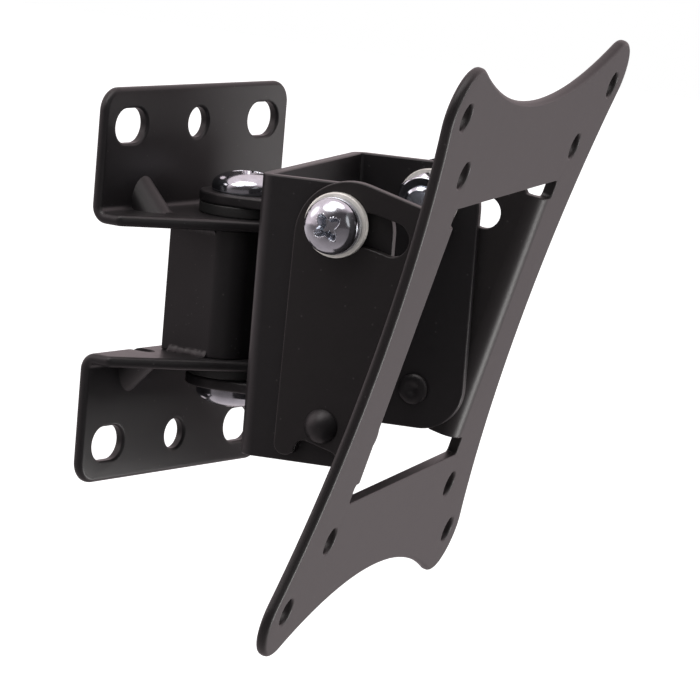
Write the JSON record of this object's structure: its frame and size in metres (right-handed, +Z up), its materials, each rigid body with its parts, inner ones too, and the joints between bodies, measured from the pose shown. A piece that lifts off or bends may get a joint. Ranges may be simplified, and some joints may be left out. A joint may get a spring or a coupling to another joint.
{
  "type": "tv wall mount",
  "caption": "Small wall mount of folded black steel: two wall angles, a box that swivels on them and a tilting plate with hollow sides for a flat screen.",
  "frame": {"origin": "on the wall surface, at the middle of the wall fixing holes", "axes": "+X to the right as seen from the room, +Y into the wall, so the screen side faces -Y, +Z up"},
  "size_m": [0.1192, 0.09, 0.1151],
  "materials": {
    "frame_paint": "black satin powder coat on steel",
    "plate_paint": "fine black satin powder coat on steel, seen light at a low angle",
    "plated_steel": "bright plating on steel",
    "black_nylon": "black nylon"
  },
  "bodies": {
    "wall_bracket": {"upper_wall_angle": "frame_paint", "lower_wall_angle": "frame_paint", "centre_post": "frame_paint", "post_welds": "frame_paint", "swivel_screw": "plated_steel", "swivel_sleeve_nut": "plated_steel", "upper_friction_washer": "black_nylon", "lower_friction_washer": "black_nylon"},
    "swivel_head": {"swivel_box": "frame_paint", "hinge_bracket": "frame_paint", "hinge_welds": "frame_paint", "left_pivot_rivet": "frame_paint", "left_tilt_screw": "plated_steel", "left_split_washer": "plated_steel", "left_flat_washer": "plated_steel", "left_inner_washer": "plated_steel", "left_tilt_nut": "plated_steel", "right_pivot_rivet": "frame_paint", "right_tilt_screw": "plated_steel", "right_split_washer": "plated_steel", "right_flat_washer": "plated_steel", "right_inner_washer": "plated_steel", "right_tilt_nut": "plated_steel"},
    "tilting_plate": {"screen_plate": "plate_paint"}
  },
  "joints": [
    {"name": "swivel", "type": "hinge", "parent": "wall_bracket", "child": "swivel_head", "pos_m": [0, -0.0154, 0], "axis": [0, 0, 1], "range_deg": [-52, 18]},
    {"name": "tilt", "type": "hinge", "parent": "swivel_head", "child": "tilting_plate", "pos_m": [0.00871, -0.0439, -0.0197], "axis": [0.9563, 0.2924, 0], "range_deg": [-15.5, 0]}
  ]
}
